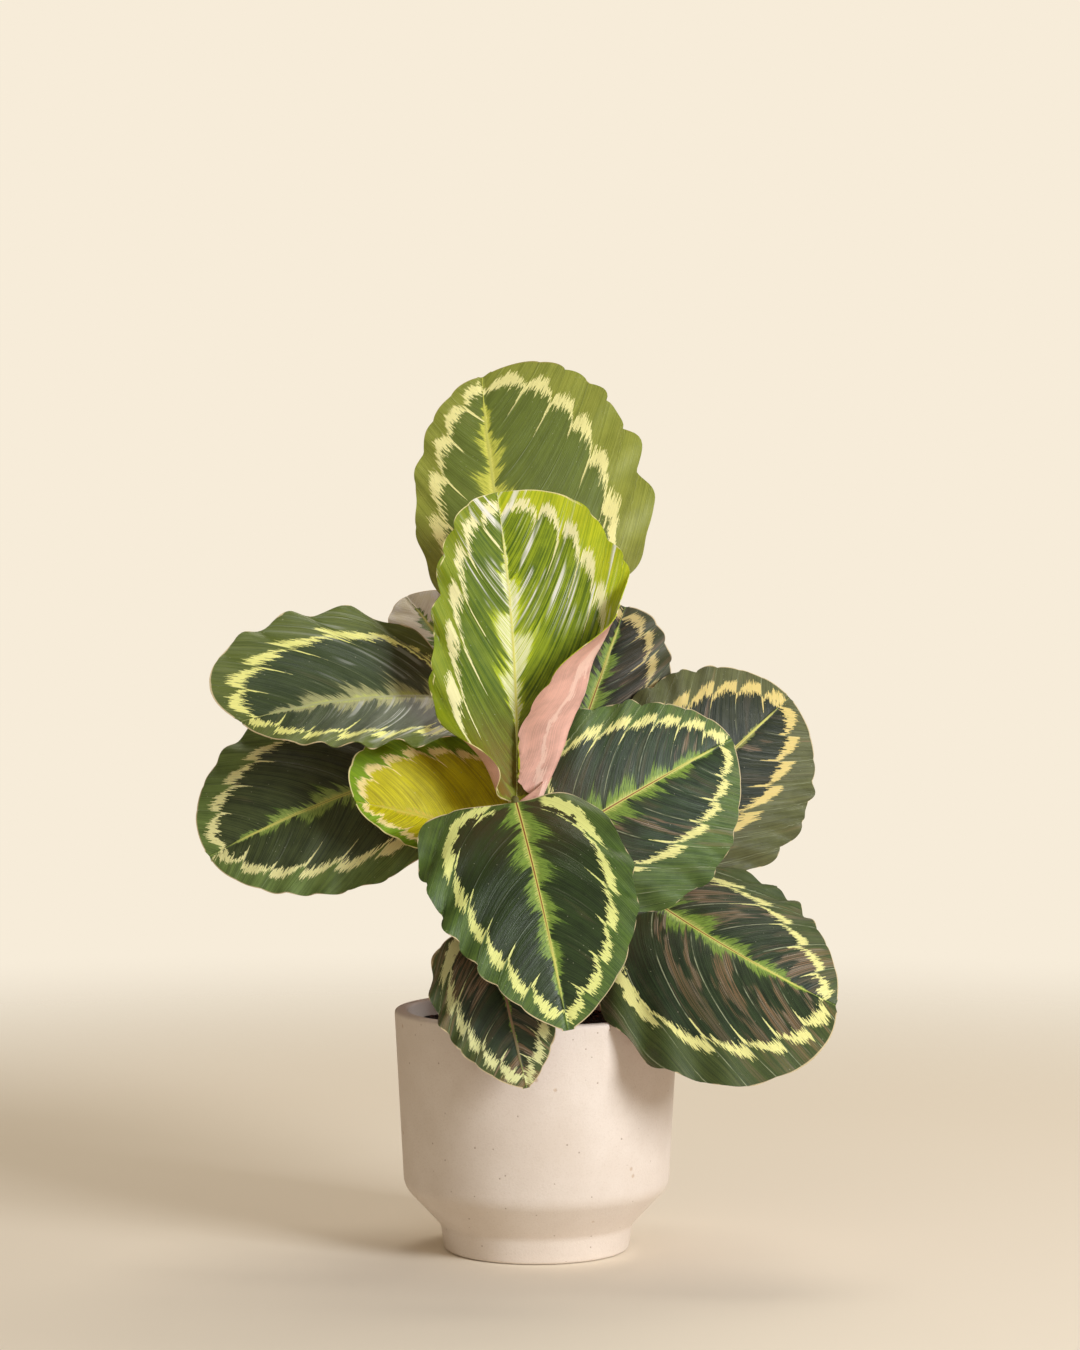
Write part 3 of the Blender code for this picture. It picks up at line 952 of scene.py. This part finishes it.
    def gleams(self, bench: Bench, marks: dict[str, Signal]) -> Signal:
        """Painted highlights: whitish streaks along the folds between side veins, like the shine on a leaf
        just unrolled.

        Args:
            bench: the bench that the material is made on.
            marks: the signals of the markings.

        Returns:
            How much they show, from 0 to 1.
        """
        hair = bench.line_noise(marks["salt"] + 31.0, 5.0, 4.0, 0.62)
        patch = bench.cloud(bench.vector(marks["turn"] * 1.1, marks["side"] * 0.05, self.seed + 8.0), 1.0)
        place = (patch + 0.02).rise(0.0, 0.2) * marks["along"].rise(*self.look.gleam_span)
        left, right = self.look.gleam_halves
        place = place * (marks["side"].above(0.0) * (right - left) + left)
        return place * (hair - 0.04).rise(0.0, 0.16)

    def bruise_and_sheen_streaks(self, bench: Bench, marks: dict[str, Signal]) -> Signal:
        """Streaks between the side veins: tan streaks of age, which upper() pales in places into painted
        sheen.

        Args:
            bench: the bench that the material is made on.
            marks: the signals of the markings.

        Returns:
            How much they show, from 0 to 1.
        """
        look = self.look
        threads = (marks["fine"] * 2.4 + 0.55).most(0.05).least(1.0)
        threads = threads * (marks["f"] * (1.0 - marks["f"])).rise(0.02, 0.1)
        picked = (marks["chance"] + look.bruise_share - 1.0).rise(0.0, 0.15) * 0.8 + 0.2
        at = bench.vector(marks["turn"] * 2.6, marks["side"] * 0.03, self.seed + 4.0)
        patch = bench.cloud(at, 1.0, 3.0, 0.6) + marks["fine"] * 0.12
        spread = (patch + look.bruise_share * 0.5 - 0.34).rise(0.0, 0.14)
        near = 1.0 - marks["side"].size().rise(18.0, 60.0) * 0.6
        return threads * picked * spread * near * (look.bruise_share * 0.45 + 0.42)

    def underside(self) -> Material:
        """The underside: purple or pink, with the ring shining through and raised veins.

        Returns:
            The finish.
        """
        look = self.look
        bench = Bench("under_" + self.shape.name)
        marks = self.markings(bench)
        fine = marks["fine"]
        mottle = bench.cloud(marks["flat"], 0.08, 3.0, 0.55)
        dark = tuple(int(part * 0.8) for part in look.under)
        rib = (marks["side"].size() - 1.6).rise(0.4, -0.4)
        color = bench.paint(look.under, ((fine * 0.7 + mottle * 0.7 + 0.4).rise(0.0, 1.0), dark),
                            (marks["band"] * 0.6, look.under_ring), (marks["plume"] * 0.35, look.under_ring),
                            (rib * 0.7, look.under_ring))
        bench.finish(color, 0.5 + mottle * 0.08, 0.3)
        bench.relief(fine * 0.6 + mottle * 0.6, 0.12)
        return bench.material


@dataclass
class Petiole:
    """A leaf's stalk, from its sheathed foot in the soil to the knuckle under the blade."""

    shape: LeafShape
    foot: float = 108.0
    ground: float = 131.0
    radius: float = 1.9
    sheath: float = 3.1
    knuckle: float = 2.15
    gap: float = 0.7
    lean: float = 0.45
    curve: float = 0.2
    points: int = 30
    sides: int = 4

    def path(self) -> list[tuple[Vector, float]]:
        """The stalk's course from its foot to the blade.

        Returns:
            Points of the stalk, each with its radius.
        """
        point, forward, _, up = (Vector(rows[0]) for rows in self.shape.midrib(np.array([0.0])))
        end = point - up * (KEEL_DEPTH / 2) - forward * self.gap
        foot = Vector((*self.shape.root, self.foot))
        ground = Vector((*self.shape.root, self.ground))
        length = (end - ground).length
        start = ground + Vector((0, 0, self.lean * length))
        approach = end - forward * (self.curve * length)
        path = [(foot, self.sheath)]
        for k in range(self.points + 1):
            f = k / self.points
            here = (ground * (1 - f) ** 3 + start * (3 * f * (1 - f) ** 2)
                    + approach * (3 * f * f * (1 - f)) + end * f ** 3)
            wrap = (self.sheath - self.radius) * max(0, 1 - f / 0.6)
            left = (1 - f) * length
            swell = (self.knuckle - self.radius) * (1 - min(1, abs(left - 8) / 8) ** 2)
            path.append((here, self.radius + wrap + max(0, swell)))
        path.append((end + forward * self.gap * 0.9, self.radius * 0.8))
        return path

    def build(self, skin: Material) -> None:
        """Makes the stalk as a round tube along its path.

        Args:
            skin: its finish.
        """
        deselect()
        bpy.ops.curve.primitive_bezier_curve_add()
        line = bpy.context.object.data
        line.splines.clear()
        line.bevel_depth = MM
        line.bevel_resolution = self.sides
        line.use_fill_caps = True
        path = self.path()
        spline = line.splines.new("POLY")
        spline.points.add(len(path) - 1)
        for target, (point, radius) in zip(spline.points, path):
            target.co = (*(point * MM), 1)
            target.radius = radius
        bpy.ops.object.convert(target="MESH")
        stalk = named("petiole_" + self.shape.name)
        smooth(50)
        stalk.data.materials.clear()
        stalk.data.materials.append(skin)
        settle(stalk, "stalk", "stalk_" + self.shape.name)

    @staticmethod
    def skin(name: str, tint: Tint, dark: Tint, low_tint: Tint) -> Material:
        """A stalk's skin with fine mottling, of another tint towards the soil.

        Args:
            name: the finish's name.
            tint: its light tint.
            dark: its dark tint.
            low_tint: its tint near the soil.

        Returns:
            The finish.
        """
        bench = Bench(name)
        place = bench.place()
        _, _, height = bench.part_of(place)
        grain = bench.cloud(place, 260.0, 3.0)
        low = (height + grain * 0.02).rise(0.24, 0.14)
        color = bench.paint(tint, ((grain + 0.3).rise(0.0, 1.0), dark), (low * 0.8, low_tint))
        bench.finish(color, 0.45 + grain * 0.06, 0.4)
        bench.relief(grain, 0.1)
        return bench.material


@dataclass
class Wrap:
    """The furled foot of the youngest blade: a short funnel that rises from the end of its stalk."""

    name: str = "leaf_wrap_young"
    foot: Point = (-11.0, -25.0, 236.0)
    mouth: Point = (-5.5, -28.0, 258.0)
    foot_radius: float = 2.6
    mouth_radius: float = 9.5
    tilt: float = 45.0
    thickness: float = 0.5

    def build(self, skin: Material) -> None:
        """Makes the funnel as an open cone, leans its mouth to the left and gives it thickness.

        Args:
            skin: its finish.
        """
        deselect()
        foot, mouth = Vector(self.foot), Vector(self.mouth)
        run = mouth - foot
        bpy.ops.mesh.primitive_cone_add(vertices=40, radius1=self.foot_radius * MM,
                                        radius2=self.mouth_radius * MM, depth=run.length * MM,
                                        end_fill_type="NOTHING", location=(foot + mouth) / 2 * MM,
                                        rotation=run.to_track_quat("Z", "Y").to_euler())
        wrap = named(self.name)
        bpy.ops.object.transform_apply()
        bpy.ops.object.mode_set(mode="EDIT")
        bpy.ops.mesh.subdivide(number_cuts=5)
        bpy.ops.mesh.normals_make_consistent(inside=False)
        bpy.ops.object.mode_set(mode="OBJECT")
        slope = math.tan(math.radians(self.tilt))
        for vert in wrap.data.vertices:
            share = max(0.0, (vert.co.z / MM - foot.z) / run.z)
            vert.co.z += (vert.co.x - mouth.x * MM) * slope * share
        wrap.data.materials.append(skin)
        pick(wrap)
        depth = wrap.modifiers.new("depth", "SOLIDIFY")
        depth.thickness = self.thickness * MM
        bpy.ops.object.modifier_apply(modifier=depth.name)
        smooth(50)
        settle(wrap, "young_leaf")


@dataclass
class Pot:
    """The pot: a flared wall on a chamfer and a narrower foot, of speckled stoneware."""

    height: float = 135.0
    rim: float = 80.0
    shoulder: float = 74.6
    shoulder_height: float = 36.0
    neck: float = 54.0
    neck_height: float = 14.0
    foot: float = 52.0
    wall: float = 7.5
    floor: float = 9.0
    segments: int = 144

    def corners(self) -> list[Point]:
        """Radius, height and fillet of the profile's corners, from the underside round to the inner floor."""
        return [
            (self.foot, 0, 2.0),
            (self.neck, self.neck_height, 2.5),
            (self.shoulder, self.shoulder_height, 5.0),
            (self.rim, self.height, 2.4),
            (self.rim - self.wall, self.height, 2.0),
            (self.shoulder - self.wall, self.shoulder_height + 3, 9.0),
            (self.neck - self.wall, self.floor, 5.0),
        ]

    def profile(self) -> list[Pair]:
        """The pot's profile, with rounded corners.

        Returns:
            Radius and height of each of its rings.
        """
        corners = [(0.0, 0.0, 0.0), *self.corners(), (0.0, self.floor, 0.0)]
        rings = []
        for before, here, after in zip(corners, corners[1:], corners[2:]):
            at = Vector(here[:2])
            start = at + (Vector(before[:2]) - at).normalized() * here[2]
            end = at + (Vector(after[:2]) - at).normalized() * here[2]
            for k in range(7):
                f = k / 6
                spot = start * (1 - f) ** 2 + at * (2 * f * (1 - f)) + end * f ** 2
                rings.append((spot.x, spot.y))
        return rings

    def build(self) -> None:
        """Raises the pot from a disc, round its wall and down to its inner floor."""
        pot = raise_rings("stoneware_pot", self.profile(), self.segments, "NGON")
        smooth(40)
        pot.data.materials.append(self.stoneware())
        settle(pot, "stoneware", "pot")

    @staticmethod
    def stoneware() -> Material:
        """Warm off-white stoneware with tan and brown specks, faint clouds and a dry satin skin.

        Returns:
            The finish.
        """
        bench = Bench("speckled_stoneware")
        place = bench.place()
        cloud = bench.cloud(place, 22.0, 4.0, 0.6)
        grain = bench.cloud(place, 900.0, 2.0, 0.7)
        wide, wide_kind = bench.specks(place, 95.0)
        small, small_kind = bench.specks(place, 300.0)
        wide_mask = (wide + grain * 0.06).rise(0.15, 0.06) * wide_kind.above(0.9)
        small_mask = (small + grain * 0.08).rise(0.2, 0.1) * small_kind.above(0.93)
        color = bench.paint(
            (236, 225, 213),
            ((cloud + 0.5).rise(0.0, 1.0), (226, 213, 199)),
            ((grain + 0.2).rise(0.1, 0.9) * 0.4, (208, 192, 174)),
            (wide_mask * 0.5, (186, 152, 114)),
            (small_mask * 0.55, (140, 106, 74)),
        )
        bench.finish(color, 0.62 + cloud * 0.06 + grain * 0.05, 0.4)
        bench.relief(grain * 0.5 + cloud - wide_mask * 0.8 - small_mask * 0.8, 0.12)
        return bench.material


@dataclass
class Soil:
    """The soil: a crumbly mound up to just under the rim, with chips of bark on it."""

    gap: float = 0.3
    edge: float = 126.0
    crown: float = 3.0
    spread: float = 68.0
    segments: int = 150
    rings: int = 44
    lump: float = 1.5
    crumb: float = 0.9
    chips: int = 420
    seed: int = 11

    def top(self, x: float, y: float) -> float:
        """Height of the soil.

        Args:
            x: place to the right.
            y: place to the back.

        Returns:
            The height.
        """
        share = min(1.0, math.hypot(x, y) / self.spread)
        at = Vector((x, y, 0))
        lumps = noise.fractal(at * 0.09, 0.9, 2.0, 3) * self.lump
        crumbs = noise.fractal(at * 0.45, 0.8, 2.1, 4) * self.crumb
        fade = min(1.0, max(0.15, (1.04 - share) * 6))
        return self.edge + self.crown * (1 - share ** 2) + (lumps + crumbs) * fade

    def build(self, pot: Pot) -> None:
        """Raises the soil from the pot's floor to its edge and draws it in to the middle, ring by ring.

        Args:
            pot: the pot that holds it.
        """
        lean = (pot.rim - pot.shoulder) / (pot.height - pot.shoulder_height - 3)
        mouth = pot.rim - pot.wall - self.gap - (pot.height - self.edge) * lean
        start = pot.neck - pot.wall - 1.0
        rings = [(start, pot.floor + self.gap), (start + 1.0 - self.gap, 14.0),
                 (pot.shoulder - pot.wall - self.gap - 1.0, 40.0), (mouth, self.edge)]
        rings += [(mouth * (1 - k / self.rings), self.edge) for k in range(1, self.rings)]
        soil = raise_rings("potting_soil", rings, self.segments, "TRIFAN")
        for vert in soil.data.vertices:
            if vert.co.z > (self.edge - 0.01) * MM:
                vert.co.z = self.top(vert.co.x / MM, vert.co.y / MM) * MM
        smooth(60)
        soil.data.materials.append(self.earth("potting_soil", (44, 33, 27), (20, 14, 11)))
        settle(soil, "soil", "soil")

    def scatter(self) -> None:
        """Lays chips of bark, crumbs and pale grit on the soil, as one piece."""
        draw = random.Random(self.seed)
        kinds = [
            (self.earth("bark_chip", (116, 84, 68), (62, 42, 34)), 2.4, 0.3),
            (self.earth("peat_crumb", (52, 38, 31), (26, 18, 14)), 1.7, 0.62),
            (self.earth("pale_grit", (176, 150, 132), (120, 96, 82)), 1.1, 0.08),
        ]
        copies = []
        for skin, size, share in kinds:
            first = self.chip(skin, size, draw)
            for _ in range(int(self.chips * share)):
                copies.append(self.lay(first, size, draw))
            bpy.data.objects.remove(first)
        deselect()
        for copy in copies:
            copy.select_set(True)
        bpy.context.view_layer.objects.active = copies[0]
        bpy.ops.object.join()
        heap = named("soil_chips")
        settle(heap, "soil")

    def chip(self, skin: Material, size: float, draw: random.Random) -> Object:
        """Models one chip: a small ball pressed flat and knocked out of shape.

        Args:
            skin: its finish.
            size: its width.
            draw: the source of random numbers.

        Returns:
            The chip.
        """
        deselect()
        bpy.ops.mesh.primitive_ico_sphere_add(subdivisions=1, radius=size * MM / 2)
        chip = named("chip")
        for vert in chip.data.vertices:
            vert.co = Vector((vert.co.x * 1.3, vert.co.y * 0.8, vert.co.z * 0.55)) * draw.uniform(0.75, 1.25)
        chip.data.materials.append(skin)
        return chip

    def lay(self, first: Object, size: float, draw: random.Random) -> Object:
        """Copies a chip to a random place on the soil, half sunk.

        Args:
            first: the chip.
            size: its width.
            draw: the source of random numbers.

        Returns:
            The copy.
        """
        copy = first.copy()
        copy.data = first.data.copy()
        bpy.context.scene.collection.objects.link(copy)
        reach = (self.spread + 2) * math.sqrt(draw.uniform(0, 1))
        angle = draw.uniform(0, math.tau)
        x, y = reach * math.cos(angle), reach * math.sin(angle)
        turn = Matrix.Rotation(draw.uniform(0, math.tau), 4, "Z")
        tilt = Matrix.Rotation(draw.uniform(-0.6, 0.6), 4, "X")
        grow = Matrix.Scale(draw.uniform(0.55, 1.5), 4)
        at = Matrix.Translation(Vector((x, y, self.top(x, y) + size * 0.12)) * MM)
        copy.data.transform(at @ turn @ tilt @ grow)
        return copy

    @staticmethod
    def earth(name: str, tint: Tint, dark: Tint) -> Material:
        """A crumbly finish.

        Args:
            name: its name.
            tint: its light tint.
            dark: its dark tint.

        Returns:
            The finish.
        """
        bench = Bench(name)
        place = bench.place()
        grain = bench.cloud(place, 420.0, 4.0, 0.7)
        bench.finish(bench.paint(tint, ((grain + 0.5).rise(0.1, 0.9), dark)), 0.9, 0.25)
        bench.relief(grain, 0.35)
        return bench.material


@dataclass
class Studio:
    """Plain pale floor, soft lights and the camera at the photo's viewing angle."""

    camera_at: Point = (2.0, -1839.0, 365.0)
    focal_pixels: float = 3270.0
    long_side: int = 1350
    sensor: float = 36.0
    horizon: float = 600.0
    floor_radius: float = 3000.0
    backdrop: Tint = (247, 236, 217)
    ambient: Tint = (255, 231, 200)
    ambient_strength: float = 0.22
    aim_height: float = 220.0

    def camera(self) -> None:
        """Sets the camera level with the upper leaves, looking slightly down as the photo does."""
        deselect()
        below = (self.long_side / 2 - self.horizon) / self.focal_pixels
        turn = (math.radians(90) - math.atan(below), 0, 0)
        place = [value * MM for value in self.camera_at]
        bpy.ops.object.camera_add(location=place, rotation=turn)
        eye = bpy.context.object
        eye.data.sensor_width = self.sensor
        eye.data.lens = self.focal_pixels / self.long_side * self.sensor
        eye.data.clip_start = 0.01
        bpy.context.scene.camera = eye

    def floor(self) -> None:
        """Lays a pale disc that fades into the backdrop's colour."""
        deselect()
        bpy.ops.mesh.primitive_circle_add(vertices=128, radius=self.floor_radius * MM, fill_type="NGON")
        disc = named("studio_floor")
        bench = Bench("studio_floor")
        bench.finish((242, 232, 214), 0.9, 0.1)
        x, y, _ = bench.part_of(bench.place())
        far = ((x * x + y * y) ** 0.5).rise(0.5, 1.6)
        lit = Signal(bench, bench.shader.outputs[0])
        mixed = bench.node("MixShader", 0, {0: far, 1: lit, 2: bench.node("BsdfTransparent", 0, {})})
        bench.plug(bench.tree.nodes["Material Output"].inputs["Surface"], mixed)
        disc.data.materials.append(bench.material)
        disc.location.z = -0.0002

    def backdrop_light(self) -> None:
        """Fills the room with soft light, and shows a plain pale backdrop."""
        world = bpy.data.worlds.new("studio")
        bpy.context.scene.world = world
        world.use_nodes = True
        nodes, links = world.node_tree.nodes, world.node_tree.links
        fill, shown = nodes["Background"], nodes.new("ShaderNodeBackground")
        fill.inputs["Color"].default_value = linear(self.ambient)
        fill.inputs["Strength"].default_value = self.ambient_strength
        shown.inputs["Color"].default_value = linear(self.backdrop)
        path, mixed = nodes.new("ShaderNodeLightPath"), nodes.new("ShaderNodeMixShader")
        sources = (path.outputs["Is Camera Ray"], fill.outputs[0], shown.outputs[0])
        for source, socket in zip(sources, mixed.inputs):
            links.new(source, socket)
        links.new(mixed.outputs[0], nodes["World Output"].inputs["Surface"])

    def lamp(self, name: str, at: Point, size: float, watts: float, tint: Tint) -> None:
        """Hangs a square soft light that looks at the plant.

        Args:
            name: the light's name.
            at: its place.
            size: its side.
            watts: its power.
            tint: its colour.
        """
        deselect()
        spot = Vector(at)
        turn = (Vector((0, 0, self.aim_height)) - spot).to_track_quat("-Z", "Y").to_euler()
        bpy.ops.object.light_add(type="AREA", location=spot * MM, rotation=turn)
        lamp = bpy.context.object
        lamp.name = name
        lamp.data.size = size * MM
        lamp.data.energy = watts
        lamp.data.color = linear(tint)[:3]

    def build(self) -> None:
        """Sets up the camera, the floor and the lights."""
        self.camera()
        self.floor()
        self.backdrop_light()
        self.lamp("key", (1560, -1500, 980), 800, 45, (248, 250, 255))
        self.lamp("fill", (-500, -2000, 1100), 1200, 4, (255, 250, 244))
        self.lamp("top", (200, 900, 1700), 900, 14, (255, 248, 236))
        bpy.context.scene.view_settings.view_transform = "Standard"
        LOG.info("camera, floor and lights are in place")


def main() -> None:
    """Builds the studio and every piece in order."""
    logging.basicConfig(level=logging.INFO, format="%(message)s")
    Studio().build()
    pot = Pot()
    pot.build()
    soil = Soil()
    soil.build(pot)
    soil.scatter()
    skins = {
        "grown": Petiole.skin("petiole_skin", (118, 118, 66), (86, 80, 50), (84, 58, 50)),
        "young": Petiole.skin("young_petiole_skin", (206, 158, 138), (170, 122, 110), (140, 92, 84)),
    }
    for number, shape in enumerate(LEAVES):
        Blade(shape, LOOKS[shape.name], seed=number * 7.3 + 1.7).build()
        Petiole(shape).build(skins.get(shape.name, skins["grown"]))
    Wrap().build(Petiole.skin("wrap_skin", (222, 172, 150), (186, 132, 122), (200, 150, 136)))


if __name__ == "__main__":
    main()
